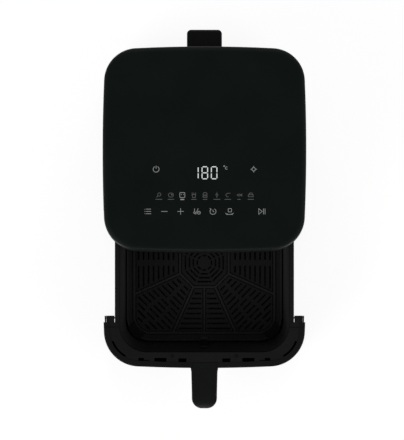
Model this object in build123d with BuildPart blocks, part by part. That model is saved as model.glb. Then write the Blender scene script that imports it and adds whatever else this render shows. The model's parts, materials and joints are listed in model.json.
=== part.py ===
from build123d import *
import os
from math import cos, radians, sin, sqrt, tan

os.makedirs("parts", exist_ok=True)

# Basket air fryer, millimetres.  +Z up, the front faces -Y.  The origin is on the table,
# under the middle of the whole object as it rests, with its drawer pulled part way out.

# Housing: a rounded square with gently bowed sides that spreads a little towards its foot.
height = 302.0
outline_level = 297.0          # height at which the half sizes below are given
half_width = 142.6
half_depth = 143.1
side_bow = 4.2                 # how far each side bows out past its corners
face_bow = 5.0                 # the same for the front and the back
corner_radius = 46.5
side_taper = 2.0               # degrees from upright
body_y = 101.0                 # middle of the housing
wall = 3.0
housing_foot = 8.0
cover_seam = 291.0
cover_round = 7.4
cover_thickness = 3.2

# Mouth of the drawer bay, with a thin lip that the drawer's tongue slides behind.
# Its edge leans with the housing's front face, and mouth_y is at its upper end.
mouth_y = 20.0
mouth_top = 164.0
lip = 1.4
lip_depth = 11.5
frame_front = 32.0
frame_back = 35.0

# Drawer: pulled out this far at rest.
drawer_open = 166.5
drawer_y = body_y - drawer_open
shell_foot = 14.0
shell_top = 162.0
shell_wall = 2.8
tongue_inset = 1.8
shell_floor = 1.8
tongue_end = mouth_y + 9.0 - drawer_open
shell_end = mouth_y - 0.5 - drawer_open
trim_bottom = 159.2
trim_top = 161.6
trim_step = 1.0                # how far the trim's rear ends sit below the rest
trim_step_y = -154.6
shell_rim = 8.2                # width of the shell's inward top rim
inner_cover_inset = 17.2
inner_cover_wall = 2.0

# Pan: a drafted square tub whose front wall leans a little more than the others.
pan_y = -62.5
pan_floor = 30.0
pan_rim = 159.0
pan_wall = 1.0
pan_floor_half = 115.2
pan_mouth_half = 123.6
pan_mouth_front = 128.1
pan_floor_radius = 30.0
pan_mouth_radius = 40.6
pan_rim_width = 6.1

# Crisper plate: ribs with a groove down each side divide it into a hub and eight fields.
plate_top = 56.4
plate_thickness = 2.0
plate_width = 230.0
plate_depth = 231.0
plate_radius = 35.0
plate_edge = 2.5               # width of the raised edge
rib_height = 1.6
rib_width = 3.0
middle_rib_width = 2.4
groove_width = 1.5
groove_depth = 1.2
frame_rib_half = 103.8
frame_rib_radius = 24.0
plate_hub = 39.5               # to the hub's corners, where the spokes start
spoke_angle = 24.2             # of each spoke from the nearer axis
first_row = 45.7
slot_pitch = 7.4
slot_width = 2.6
hub_first_row = 10.6
hub_pitch = 5.8
hub_slot_width = 2.3
slot_margin = 5.4              # from a spoke's middle line to the nearest slot
bumper_reach = 137.5           # middle of a corner bumper from the plate's centre, on the diagonal
bumper_offset = 9.6

# Cooking chamber and fan, all on one upright axis above the closed pan.
fan_y = pan_y + drawer_open
liner_half = 133.5
liner_back = 238.5
liner_sheet = 0.6
liner_floor = 16.0
chamber_level = 166.6          # underside of the chamber plate
chamber_sheet = 1.0
dome_radius = 99.0
dome_top = 222.0
dome_flange = 106.0
coil_level = 180.0
coil_tube = 3.2
coil_outer = 82.0
coil_inner = 62.0
guard_level = 170.5
guard_wire = 1.2
shaft_radius = 4.0
bearing_gap = 0.05
impeller_radius = 55.0
impeller_top = 212.0
cooling_fan_radius = 54.0
cooling_fan_level = 228.0
bracket_level = 240.0

# Handle: a loop that leaves the top of the drawer front and comes back near its foot.
handle_tip = -273.0
handle_half = 18.2
handle_root_half = 19.9
handle_end_radius = 16.0
arm_half = 17.5

# Rear spacer, which holds the fryer off the wall.
spacer_half = 25.0
spacer_back = 273.0
spacer_foot = 95.0
spacer_top = 215.0
spacer_wall = 2.5

# Feet, vents and lead inlet.
foot_height = 5.0
foot_radius = 12.0
foot_reach = 112.0
exhaust_half = 72.0
exhaust_low = 228.0
exhaust_high = 262.0
inlet_x = 92.0
inlet_z = 42.0
inlet_bore = 3.75
inlet_neck = 8.3


def spread(z):
    """How much wider each half of the outline is at height z than at its own level."""
    return (outline_level - z) * tan(radians(side_taper))


def housing_outline(z, inset=0.0, centre_y=body_y):
    """Sketch of the rounded square outline at height z, its sides moved in by inset."""
    side = half_width + spread(z) - inset
    face = half_depth + spread(z) - inset
    corner_x = side - side_bow
    corner_y = face - face_bow
    with BuildSketch(Plane((0, centre_y, z))) as outline:
        with BuildLine():
            ThreePointArc((corner_x, -corner_y), (side, 0), (corner_x, corner_y))
            ThreePointArc((corner_x, corner_y), (0, face), (-corner_x, corner_y))
            ThreePointArc((-corner_x, corner_y), (-side, 0), (-corner_x, -corner_y))
            ThreePointArc((-corner_x, -corner_y), (0, -face), (corner_x, -corner_y))
        make_face()
        fillet(outline.vertices(), corner_radius + spread(z) - inset)
    return outline.sketch


def housing_block(low, high, inset=0.0, centre_y=body_y):
    """Solid of the tapered outline from low to high, its sides moved in by inset."""
    foot = housing_outline(low, inset, centre_y)
    crown = housing_outline(high, inset, centre_y)
    with BuildPart() as block:
        loft([foot, crown], ruled=True)
    return block.part


def slab(x_low, x_high, y_low, y_high, z_low, z_high):
    """Plain box between two corners."""
    with BuildPart() as box:
        with Locations(((x_low + x_high) / 2, (y_low + y_high) / 2, (z_low + z_high) / 2)):
            Box(x_high - x_low, y_high - y_low, z_high - z_low)
    return box.part


def front_of(y, z_low=-10.0, z_high=320.0):
    """Everything in front of y, between two heights."""
    return slab(-200, 200, -400, y, z_low, z_high)


def between(y_low, y_high, z_low=-10.0, z_high=320.0):
    """Everything from y_low to y_high, between two heights."""
    return slab(-200, 200, y_low, y_high, z_low, z_high)


def leaning_front_of(y, z_low=-10.0, z_high=320.0):
    """Everything in front of a plane that leans with the housing's face and passes y at the mouth's top."""
    low_y = y - (mouth_top - z_low) * tan(radians(side_taper))
    high_y = y - (mouth_top - z_high) * tan(radians(side_taper))
    with BuildPart() as wedge:
        with BuildSketch(Plane.YZ):
            with BuildLine():
                Polyline((-400, z_low), (low_y, z_low), (high_y, z_high), (-400, z_high), close=True)
            make_face()
        extrude(amount=200, both=True)
    return wedge.part


def leaning_between(y_low, y_high):
    """Everything between two such planes."""
    with BuildPart() as layer:
        add(leaning_front_of(y_high))
        add(leaning_front_of(y_low), mode=Mode.SUBTRACT)
    return layer.part


# ---------------------------------------------------------------- housing

housing_outer = housing_block(housing_foot, cover_seam - 0.4)
housing_inner = housing_block(housing_foot - 1, cover_seam, wall)
with BuildPart() as lip_recess:
    add(housing_block(housing_foot - 1, mouth_top, lip))
    add(leaning_front_of(mouth_y + lip_depth), mode=Mode.INTERSECT)

with BuildPart() as outer_housing:
    add(housing_outer)
    add(housing_inner, mode=Mode.SUBTRACT)
    add(leaning_front_of(mouth_y, z_high=mouth_top), mode=Mode.SUBTRACT)
    add(lip_recess.part, mode=Mode.SUBTRACT)
    add(slab(-exhaust_half, exhaust_half, 225, 270, exhaust_low, exhaust_high), mode=Mode.SUBTRACT)
    with BuildSketch(Plane.XZ.offset(-225)):
        with Locations((inlet_x, inlet_z)):
            Circle(inlet_neck + 0.2)
        with Locations((-60, 44)):
            with GridLocations(0, 8.5, 1, 5):
                SlotOverall(70, 4)
    extrude(amount=-45, mode=Mode.SUBTRACT)
outer_housing.part.label = "outer_housing"
export_step(outer_housing.part, "parts/outer_housing.step")

with BuildPart() as cover_skirt:
    add(housing_block(cover_seam - 6, cover_seam, wall + 0.2))
    add(housing_block(cover_seam - 7, cover_seam + 1, 5.0), mode=Mode.SUBTRACT)
with BuildPart() as top_cover:
    add(housing_block(cover_seam, height))
    fillet(top_cover.edges().group_by(Axis.Z)[-1], cover_round)
    add(housing_block(cover_seam - 1, height - cover_thickness, 5.0), mode=Mode.SUBTRACT)
    add(cover_skirt.part)
    with BuildSketch(Plane.XY.offset(287.6)):
        for x, y in ((-84, 4), (88, 4), (-84, 80), (88, 80)):
            with Locations((x, y)):
                Circle(3)
    extrude(amount=height - cover_thickness - 287.6 + 0.5)
top_cover.part.label = "top_cover"
export_step(top_cover.part, "parts/top_cover.step")

with BuildPart() as base_plate:
    add(housing_block(foot_height, 12.0, wall + 0.4))
    add(housing_block(housing_foot, 13.0, wall + 3.0), mode=Mode.SUBTRACT)
    with BuildSketch(Plane.XY.offset(foot_height)):
        with Locations((0, body_y + 4)):
            with GridLocations(62, 9, 3, 13):
                SlotOverall(50, 3.6)
    extrude(amount=10, mode=Mode.SUBTRACT)
    with BuildSketch(Plane.XY.offset(foot_height)):
        for x in (-foot_reach, foot_reach):
            for y in (body_y - foot_reach, body_y + foot_reach):
                with Locations((x, y)):
                    Circle(3.0)
    extrude(amount=4, mode=Mode.SUBTRACT)
base_plate.part.label = "base_plate"
export_step(base_plate.part, "parts/base_plate.step")

for end, y in (("front", body_y - foot_reach), ("rear", body_y + foot_reach)):
    for side, x in (("left", -foot_reach), ("right", foot_reach)):
        with BuildPart(Plane((x, y, 0))) as foot:
            Cylinder(foot_radius, foot_height, align=(Align.CENTER, Align.CENTER, Align.MIN))
            chamfer(foot.edges().group_by(Axis.Z)[0], 1.0)
            Cylinder(2.9, foot_height + 3, align=(Align.CENTER, Align.CENTER, Align.MIN))
        foot.part.label = f"foot_{end}_{side}"
        export_step(foot.part, f"parts/foot_{end}_{side}.step")

with BuildPart() as rear_spacer:
    add(slab(-spacer_half, spacer_half, 235, spacer_back, spacer_foot, spacer_top))
    fillet(rear_spacer.edges().filter_by(Axis.Z).sort_by(Axis.Y)[-2:], 6.0)
    fillet(rear_spacer.faces().sort_by(Axis.Y)[-1].edges(), 3.0)
    add(slab(-spacer_half + spacer_wall, spacer_half - spacer_wall, 230, spacer_back - spacer_wall,
             spacer_foot + spacer_wall, spacer_top - spacer_wall), mode=Mode.SUBTRACT)
    add(housing_outer, mode=Mode.SUBTRACT)
    add(front_of(247), mode=Mode.SUBTRACT)
rear_spacer.part.label = "rear_spacer"
export_step(rear_spacer.part, "parts/rear_spacer.step")

inlet_plane = Plane(origin=(inlet_x, 241, inlet_z), x_dir=(1, 0, 0), z_dir=(0, 1, 0))
with BuildPart() as cord_gland:
    with Locations(inlet_plane):
        Cylinder(inlet_neck + 3, 15, align=(Align.CENTER, Align.CENTER, Align.MIN))
    fillet(cord_gland.edges().group_by(Axis.Y)[-1], 1.5)
    add(housing_outer, mode=Mode.SUBTRACT)
    with Locations(inlet_plane):
        Cylinder(inlet_neck, 14, align=(Align.CENTER, Align.CENTER, Align.MIN))
        Cylinder(inlet_bore, 40, align=(Align.CENTER, Align.CENTER, Align.CENTER), mode=Mode.SUBTRACT)
cord_gland.part.label = "cord_gland"
export_step(cord_gland.part, "parts/cord_gland.step")

with BuildPart() as exhaust_grille:
    add(housing_block(exhaust_low - 5, exhaust_high + 5, 0.4))
    add(housing_block(exhaust_low - 6, exhaust_high + 6, 2.8), mode=Mode.SUBTRACT)
    add(slab(-exhaust_half + 0.2, exhaust_half - 0.2, 225, 270, exhaust_low + 0.2, exhaust_high - 0.2),
        mode=Mode.INTERSECT)
    with BuildSketch(Plane.XZ.offset(-225)):
        with Locations((0, (exhaust_low + exhaust_high) / 2)):
            with GridLocations(46, 5.4, 3, 5):
                SlotOverall(42, 3.0)
    extrude(amount=-45, mode=Mode.SUBTRACT)
exhaust_grille.part.label = "exhaust_grille"
export_step(exhaust_grille.part, "parts/exhaust_grille.step")

duct_half = 66.0
duct_front = 214.0
duct_back = 239.6
with BuildPart() as exhaust_duct:
    add(slab(-duct_half, duct_half, duct_front, duct_back, chamber_level + chamber_sheet, 268))
    add(slab(-duct_half + 1.5, duct_half - 1.5, duct_front + 1.5, duct_back - 1.5,
             chamber_level, 266.5), mode=Mode.SUBTRACT)
    add(slab(-duct_half + 3, duct_half - 3, duct_back - 3, duct_back + 5,
             exhaust_low - 1, exhaust_high + 1), mode=Mode.SUBTRACT)
exhaust_duct.part.label = "exhaust_duct"
export_step(exhaust_duct.part, "parts/exhaust_duct.step")

# ---------------------------------------------------------------- drawer bay

with BuildPart() as drawer_liner:
    outside = liner_half + liner_sheet
    add(slab(-outside, outside, frame_back, liner_back + liner_sheet,
             liner_floor - liner_sheet, chamber_level))
    fillet(drawer_liner.edges().filter_by(Axis.Z).sort_by(Axis.Y)[-2:], 49.0)
    offset(amount=-liner_sheet, openings=(drawer_liner.faces().sort_by(Axis.Y)[0],
                                          drawer_liner.faces().sort_by(Axis.Z)[-1]))
drawer_liner.part.label = "drawer_liner"
export_step(drawer_liner.part, "parts/drawer_liner.step")

plunger_x = 137.7
plunger_z = 108.0
with BuildPart() as cavity_frame:
    add(housing_block(12.2, mouth_top, wall + 0.4))
    add(between(frame_front, frame_back), mode=Mode.INTERSECT)
    add(slab(-liner_half, liner_half, 0, 60, liner_floor, mouth_top + 5), mode=Mode.SUBTRACT)
    with BuildSketch(Plane.XZ.offset(-frame_front)):
        with Locations((plunger_x, plunger_z)):
            Circle(3.3)
    extrude(amount=-5, mode=Mode.SUBTRACT)
cavity_frame.part.label = "cavity_frame"
export_step(cavity_frame.part, "parts/cavity_frame.step")

with BuildPart() as upper_fascia:
    add(housing_block(mouth_top + 0.2, chamber_level - 0.2, wall + 0.4))
    add(front_of(frame_back), mode=Mode.INTERSECT)
    with Locations((0, fan_y, mouth_top)):
        Cylinder(dome_radius, 20, mode=Mode.SUBTRACT)
upper_fascia.part.label = "upper_fascia"
export_step(upper_fascia.part, "parts/upper_fascia.step")

rail_half_inner = 126.6
rail_top = 157.0
rail_end = 188.0
for side, sign in (("left", -1), ("right", 1)):
    with BuildPart() as rail:
        with BuildSketch(Plane.XY.offset(rail_top - 7)):
            with Locations((sign * (rail_half_inner + liner_half) / 2, (frame_back + rail_end) / 2)):
                Rectangle(liner_half - rail_half_inner, rail_end - frame_back)
        extrude(amount=7)
        chamfer(rail.edges().filter_by(Axis.X).group_by(Axis.Z)[-1], 2.0)
    rail.part.label = f"slide_rail_{side}"
    export_step(rail.part, f"parts/slide_rail_{side}.step")

with BuildPart() as chamber_plate:
    add(housing_block(chamber_level, chamber_level + chamber_sheet, wall + 0.8))
    with Locations((0, fan_y, chamber_level)):
        Cylinder(dome_radius - 1, 10, mode=Mode.SUBTRACT)
    with BuildSketch(Plane.XY.offset(chamber_level)):
        with Locations((0, 227)):
            with GridLocations(17, 0, 7, 1):
                RectangleRounded(12, 18, 3)
    extrude(amount=5, mode=Mode.SUBTRACT)
chamber_plate.part.label = "chamber_plate"
export_step(chamber_plate.part, "parts/chamber_plate.step")

# ---------------------------------------------------------------- heater and fan

fan_axis = Plane((0, fan_y, 0))
lift = (Align.CENTER, Align.CENTER, Align.MIN)
dome_foot = chamber_level + chamber_sheet


def around(radius, degrees, z=0.0):
    """Point at a radius and an angle round the fan axis."""
    return Vector(radius * cos(radians(degrees)), fan_y + radius * sin(radians(degrees)), z)


def tangent(degrees):
    """Direction of anticlockwise travel round the fan axis at an angle."""
    return Vector(-sin(radians(degrees)), cos(radians(degrees)), 0)


def terminal_top(radius, degrees):
    """Where a heating tube that starts level at this angle has turned upright."""
    return around(radius, degrees, coil_level + terminal_bend) - tangent(degrees) * terminal_bend


outer_start = 174.0
inner_start = 188.0
terminal_bend = 12.0
tube_ends = ((coil_outer, outer_start), (coil_inner, inner_start))

fan_section = Plane.XZ.offset(-fan_y)
spin_axis = Axis((0, fan_y, 0), (0, 0, 1))
dome_round = 14.0

with BuildPart() as heater_dome:
    with BuildSketch(fan_section):
        with BuildLine():
            Polyline((dome_radius - 1, dome_foot), (dome_flange, dome_foot), (dome_flange, dome_foot + 1),
                     (dome_radius, dome_foot + 1), (dome_radius, dome_top - dome_round))
            RadiusArc((dome_radius, dome_top - dome_round), (dome_radius - dome_round, dome_top),
                      -dome_round)
            Polyline((dome_radius - dome_round, dome_top), (9, dome_top), (9, dome_top - 1),
                     (dome_radius - dome_round, dome_top - 1))
            RadiusArc((dome_radius - dome_round, dome_top - 1), (dome_radius - 1, dome_top - dome_round),
                      dome_round - 1)
            Line((dome_radius - 1, dome_top - dome_round), (dome_radius - 1, dome_foot))
        make_face()
    revolve(axis=spin_axis)
    with BuildSketch(Plane.XY.offset(dome_top - 8)):
        for radius, start in tube_ends:
            hole = terminal_top(radius, start)
            with Locations((hole.X, hole.Y)):
                Circle(coil_tube + 1.0)
    extrude(amount=12, mode=Mode.SUBTRACT)
heater_dome.part.label = "heater_dome"
export_step(heater_dome.part, "parts/heater_dome.step")


# Two turns of heating tube in one plane, joined by a tight bend, with both ends turned up.
bend_angle = 130.0
bend_reach = (coil_outer + coil_inner) / 2
bend_radius = (coil_outer - coil_inner) / 2
with BuildPart() as heating_element:
    with BuildLine() as tube_path:
        for radius, start in tube_ends:
            foot = around(radius, start, coil_level)
            top = terminal_top(radius, start)
            knee = foot + (top - foot) * sin(radians(45))
            knee.Z = coil_level + terminal_bend * (1 - cos(radians(45)))
            halfway = around(radius, (start + 360 + bend_angle) / 2, coil_level)
            Line(top + Vector(0, 0, 40), top)
            ThreePointArc(top, knee, foot)
            ThreePointArc(foot, halfway, around(radius, bend_angle, coil_level))
        ThreePointArc(around(coil_outer, bend_angle, coil_level),
                      around(bend_reach, bend_angle, coil_level) + tangent(bend_angle) * bend_radius,
                      around(coil_inner, bend_angle, coil_level))
    with BuildSketch(tube_path.line ^ 0):
        Circle(coil_tube)
    sweep(path=tube_path.line)
heating_element.part.label = "heating_element"
export_step(heating_element.part, "parts/heating_element.step")

with BuildPart(fan_axis) as heater_clips:
    with PolarLocations(coil_outer, 3, start_angle=30):
        with Locations((0, 0, coil_level + coil_tube + 0.9)):
            Box(1.2, 8, dome_top - coil_level - coil_tube - 2.1, align=lift)
        with Locations((0, 0, coil_level)):
            Cylinder(coil_tube + 1.3, 8, rotation=(90, 0, 0))
    with PolarLocations(coil_outer, 3, start_angle=30):
        with Locations((0, 0, coil_level)):
            Cylinder(coil_tube + 0.1, 20, rotation=(90, 0, 0), mode=Mode.SUBTRACT)
heater_clips.part.label = "heater_clips"
export_step(heater_clips.part, "parts/heater_clips.step")

with BuildPart(fan_axis) as heater_guard:
    for ring in range(6):
        with Locations((0, 0, guard_level)):
            Torus(dome_radius - 3 - 15 * ring, guard_wire)
    with Locations((0, 0, guard_level + 1.7)):
        for turn in range(4):
            Cylinder(guard_wire, 2 * (dome_radius - 2), rotation=(90, 0, 22.5 + 45 * turn))
heater_guard.part.label = "heater_guard"
export_step(heater_guard.part, "parts/heater_guard.step")

# ---------------------------------------------------------------- fan rotor

with BuildPart(fan_axis) as motor_shaft:
    with Locations((0, 0, 186)):
        Cylinder(shaft_radius, 94, align=lift)
    chamfer(motor_shaft.edges().group_by(Axis.Z)[0], 0.6)
    chamfer(motor_shaft.edges().group_by(Axis.Z)[-1], 0.6)
motor_shaft.part.label = "motor_shaft"
export_step(motor_shaft.part, "parts/motor_shaft.step")

hub_radius = 10.0
with BuildPart(fan_axis) as fan_impeller:
    with Locations((0, 0, impeller_top - 18)):
        Cylinder(hub_radius, 18, align=lift)
    with Locations((0, 0, impeller_top - 1.2)):
        Cylinder(impeller_radius, 1.2, align=lift)
    with PolarLocations((hub_radius + impeller_radius) / 2, 10):
        with Locations((0, 0, impeller_top - 17)):
            Box(impeller_radius - hub_radius + 2, 1.2, 16.5, align=lift)
    with Locations((0, 0, impeller_top - 10)):
        Cylinder(shaft_radius, 40, mode=Mode.SUBTRACT)
fan_impeller.part.label = "fan_impeller"
export_step(fan_impeller.part, "parts/fan_impeller.step")

with BuildPart(fan_axis) as shaft_nut:
    with BuildSketch(Plane((0, fan_y, impeller_top - 24))):
        RegularPolygon(7.0, 6)
    extrude(amount=6)
    chamfer(shaft_nut.edges().group_by(Axis.Z)[0], 0.8)
    with Locations((0, 0, impeller_top - 10)):
        Cylinder(shaft_radius, 60, mode=Mode.SUBTRACT)
shaft_nut.part.label = "shaft_nut"
export_step(shaft_nut.part, "parts/shaft_nut.step")

with BuildPart(fan_axis) as cooling_fan:
    with Locations((0, 0, cooling_fan_level)):
        Cylinder(hub_radius, 9, align=lift)
    with PolarLocations((hub_radius + cooling_fan_radius) / 2, 9):
        with Locations((0, 0, cooling_fan_level + 4.5)):
            Box(cooling_fan_radius - hub_radius + 3, 16, 1.0, rotation=(22, 0, 0))
    with Locations((0, 0, cooling_fan_level)):
        Cylinder(shaft_radius, 40, mode=Mode.SUBTRACT)
cooling_fan.part.label = "cooling_fan"
export_step(cooling_fan.part, "parts/cooling_fan.step")

rotor_radius = 15.0
rotor_low = 247.0
rotor_length = 20.0
with BuildPart(fan_axis) as motor_rotor:
    with Locations((0, 0, rotor_low)):
        Cylinder(rotor_radius, rotor_length, align=lift)
        Cylinder(shaft_radius, rotor_length, align=lift, mode=Mode.SUBTRACT)
motor_rotor.part.label = "motor_rotor"
export_step(motor_rotor.part, "parts/motor_rotor.step")

# ---------------------------------------------------------------- motor and electrics

leg_reach = 62.0
bearing_radius = 8.0
screw_reach = 20.0
with BuildPart(fan_axis) as motor_bracket:
    with Locations((0, 0, bracket_level)):
        Cylinder(leg_reach + 4, 1.5, align=lift)
    with PolarLocations(leg_reach + 3.2, 4, start_angle=45):
        with Locations((0, 0, dome_top)):
            Box(1.5, 14, bracket_level + 1 - dome_top, align=lift)
        with Locations((5, 0, dome_top)):
            Box(10, 14, 1.5, align=lift)
    with Locations((0, 0, bracket_level)):
        Cylinder(bearing_radius, 10, mode=Mode.SUBTRACT)
    with Locations((-screw_reach, -screw_reach, bracket_level), (screw_reach, -screw_reach, bracket_level)):
        Cylinder(2.0, 10, mode=Mode.SUBTRACT)
motor_bracket.part.label = "motor_bracket"
export_step(motor_bracket.part, "parts/motor_bracket.step")

bearing_top = rotor_low + rotor_length + 3
for place, low in (("lower", bracket_level - 2), ("upper", bearing_top)):
    with BuildPart(Plane((0, fan_y, low))) as bearing:
        Cylinder(bearing_radius, 6, align=lift)
        Cylinder(shaft_radius + bearing_gap, 6, align=lift, mode=Mode.SUBTRACT)
    bearing.part.label = f"motor_bearing_{place}"
    export_step(bearing.part, f"parts/motor_bearing_{place}.step")

with BuildPart(Plane((0, fan_y, rotor_low))) as motor_stator:
    with Locations((0, 12, 0)):
        Box(50, 74, 20, align=lift)
    with Locations((0, 36, -1)):
        Box(26, 14, 30, align=lift, mode=Mode.SUBTRACT)
    Cylinder(rotor_radius + 0.6, 60, mode=Mode.SUBTRACT)
    with Locations((-screw_reach, -screw_reach, 0), (screw_reach, -screw_reach, 0)):
        Cylinder(2.0, 60, mode=Mode.SUBTRACT)
motor_stator.part.label = "motor_stator"
export_step(motor_stator.part, "parts/motor_stator.step")

with BuildPart(Plane((0, fan_y, rotor_low))) as motor_coil:
    with Locations((19, 36, -3)):
        Box(24, 13, 26, align=lift)
    with Locations((19, 36, 0)):
        Box(12.2, 20, 20, align=lift, mode=Mode.SUBTRACT)
motor_coil.part.label = "motor_coil"
export_step(motor_coil.part, "parts/motor_coil.step")

with BuildPart(fan_axis) as motor_frame:
    with Locations((0, 0, bearing_top)):
        Box(62, 22, 2, align=lift)
        with Locations((0, 0, 1)):
            Cylinder(bearing_radius, 20, mode=Mode.SUBTRACT)
    with Locations((-30, 0, bracket_level + 1.5), (30, 0, bracket_level + 1.5)):
        Box(2, 14, bearing_top + 2 - bracket_level - 1.5, align=lift)
motor_frame.part.label = "motor_frame"
export_step(motor_frame.part, "parts/motor_frame.step")

with BuildPart(fan_axis) as motor_screws:
    with Locations((-screw_reach, -screw_reach, bracket_level - 3),
                   (screw_reach, -screw_reach, bracket_level - 3)):
        Cylinder(1.9, 32, align=lift)
        Cylinder(3.6, 3.0, align=lift)
motor_screws.part.label = "motor_screws"
export_step(motor_screws.part, "parts/motor_screws.step")

with BuildPart(Plane((-30, fan_y - 68, dome_top))) as thermal_cutout:
    Cylinder(8, 5, align=lift)
    with Locations((0, 0, 5)):
        Cylinder(6, 5, align=lift)
    with Locations((-4, 0, 10), (4, 0, 10)):
        Box(1, 4, 7, align=lift)
thermal_cutout.part.label = "thermal_cutout"
export_step(thermal_cutout.part, "parts/thermal_cutout.step")

sensor_x = 106.0
with BuildPart(Plane((sensor_x, fan_y - 88, chamber_level + chamber_sheet))) as temperature_sensor:
    Cylinder(7, 2, align=lift)
    Cylinder(3.5, 16, align=lift)
temperature_sensor.part.label = "temperature_sensor"
export_step(temperature_sensor.part, "parts/temperature_sensor.step")

# Power board, upright beside the motor on a carrier fixed to the left wall.
carrier_x = -135.5
board_x = -128.0
board_y = 101.0
board_low = 226.0
board_length = 104.0
board_tall = 54.0
with BuildPart() as board_carrier:
    add(slab(carrier_x - 2, carrier_x, board_y - 58, board_y + 58, board_low - 6, board_low + 57))
    for y in (board_y - 46, board_y + 46):
        for z in (board_low + 7, board_low + board_tall - 7):
            with Locations(Plane(origin=(carrier_x - 8, y, z), z_dir=(1, 0, 0))):
                Cylinder(4, board_x - carrier_x + 8, align=lift)
    add(housing_block(board_low - 20, cover_seam, wall + 0.1), mode=Mode.INTERSECT)
board_carrier.part.label = "board_carrier"
export_step(board_carrier.part, "parts/board_carrier.step")

with BuildPart() as power_board:
    add(slab(board_x, board_x + 1.6, board_y - board_length / 2, board_y + board_length / 2,
             board_low, board_low + board_tall))
power_board.part.label = "power_board"
export_step(power_board.part, "parts/power_board.step")

with BuildPart(Plane(origin=(board_x + 1.6, board_y, board_low + board_tall / 2), x_dir=(0, 1, 0),
                     z_dir=(1, 0, 0))) as power_components:
    for y, z, wide, tall, deep in ((-34, 6, 20, 28, 16), (-6, 8, 26, 24, 20), (22, -10, 16, 20, 12),
                                   (-34, -18, 24, 10, 12)):
        with Locations((y, z, 0)):
            Box(wide, tall, deep, align=lift)
    with Locations((22, 14, 0), (38, 14, 0), (40, -12, 0)):
        Cylinder(6, 18, align=lift)
power_components.part.label = "power_components"
export_step(power_components.part, "parts/power_components.step")

# Touch panel electronics, hung under the front of the top cover.
panel_low = 286.0
panel_under = height - cover_thickness
keys_back_y = 35.0
keys_front_y = 12.0
with BuildPart() as control_board:
    with BuildSketch(Plane.XY.offset(panel_low)):
        with Locations((2, 42)):
            RectangleRounded(184, 88, 4)
    extrude(amount=1.6)
control_board.part.label = "control_board"
export_step(control_board.part, "parts/control_board.step")

with BuildPart() as display_module:
    add(slab(-16, 27, 52, 82, panel_low + 1.6, panel_under - 0.3))
display_module.part.label = "display_module"
export_step(display_module.part, "parts/display_module.step")

with BuildPart() as touch_pads:
    with BuildSketch(Plane.XY.offset(panel_low + 1.6)):
        with Locations((2, keys_back_y)):
            with GridLocations(16.4, 0, 9, 1):
                Circle(4)
        with Locations((-10, keys_front_y)):
            with GridLocations(22.8, 0, 6, 1):
                Circle(4)
        with Locations((81, keys_front_y), (-67, 68), (69, 68)):
            Circle(4)
    extrude(amount=panel_under - panel_low - 1.6)
touch_pads.part.label = "touch_pads"
export_step(touch_pads.part, "parts/touch_pads.step")

# Door switch beside the bay.  Its sprung leaf carries a plunger that pokes out through the
# cavity frame, where the drawer's end web comes up against it.
switch_inner = liner_half + liner_sheet
switch_face = 44.5
plunger_tip = 25.5
with BuildPart() as switch_body:
    add(slab(switch_inner, switch_inner + 6.4, switch_face, switch_face + 16, 92, 114))
    for x in (switch_inner + 0.4, switch_inner + 5.2):
        add(slab(x, x + 0.8, switch_face - 4, switch_face, 93, 97))
    with Locations(Plane(origin=(switch_inner - 1, switch_face - 2, 95), z_dir=(1, 0, 0))):
        Cylinder(0.85, 10, align=lift, mode=Mode.SUBTRACT)
switch_body.part.label = "switch_body"
export_step(switch_body.part, "parts/switch_body.step")

with BuildPart() as switch_lever:
    with Locations(Plane(origin=(switch_inner + 0.2, switch_face - 2, 95), z_dir=(1, 0, 0))):
        Cylinder(0.8, 6.0, align=lift)
    add(slab(switch_inner + 1.8, switch_inner + 4.6, switch_face - 2.8, switch_face - 2.0, 94.6, 112))
    with Locations(Plane(origin=(plunger_x, plunger_tip, plunger_z), z_dir=(0, 1, 0))):
        Cylinder(1.3, switch_face - 2.4 - plunger_tip, align=lift)
switch_lever.part.label = "switch_lever"
export_step(switch_lever.part, "parts/switch_lever.step")

# ---------------------------------------------------------------- drawer front


def pan_outline(z, grow=0.0):
    """Sketch of the pan's drafted cavity at height z, grown by a wall thickness."""
    rise = (z - pan_floor) / (pan_rim - pan_floor)
    half_x = pan_floor_half + rise * (pan_mouth_half - pan_floor_half) + grow
    front = pan_floor_half + rise * (pan_mouth_front - pan_floor_half) + grow
    radius = pan_floor_radius + rise * (pan_mouth_radius - pan_floor_radius) + grow
    with BuildSketch(Plane((0, pan_y + (half_x - front) / 2, z))) as outline:
        RectangleRounded(2 * half_x, half_x + front, radius)
    return outline.sketch


def pan_block(low, high, grow=0.0):
    """Solid of the pan's cavity from low to high, grown by a wall thickness."""
    with BuildPart() as block:
        loft([pan_outline(low, grow), pan_outline(high, grow)], ruled=True)
    return block.part


with BuildPart() as shell_tongue:
    add(housing_block(shell_foot, shell_top - 1, tongue_inset, drawer_y))
    add(housing_block(shell_foot - 1, shell_top + 1, tongue_inset + 2.0, drawer_y), mode=Mode.SUBTRACT)
    add(leaning_between(shell_end - 12, tongue_end), mode=Mode.INTERSECT)

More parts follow.
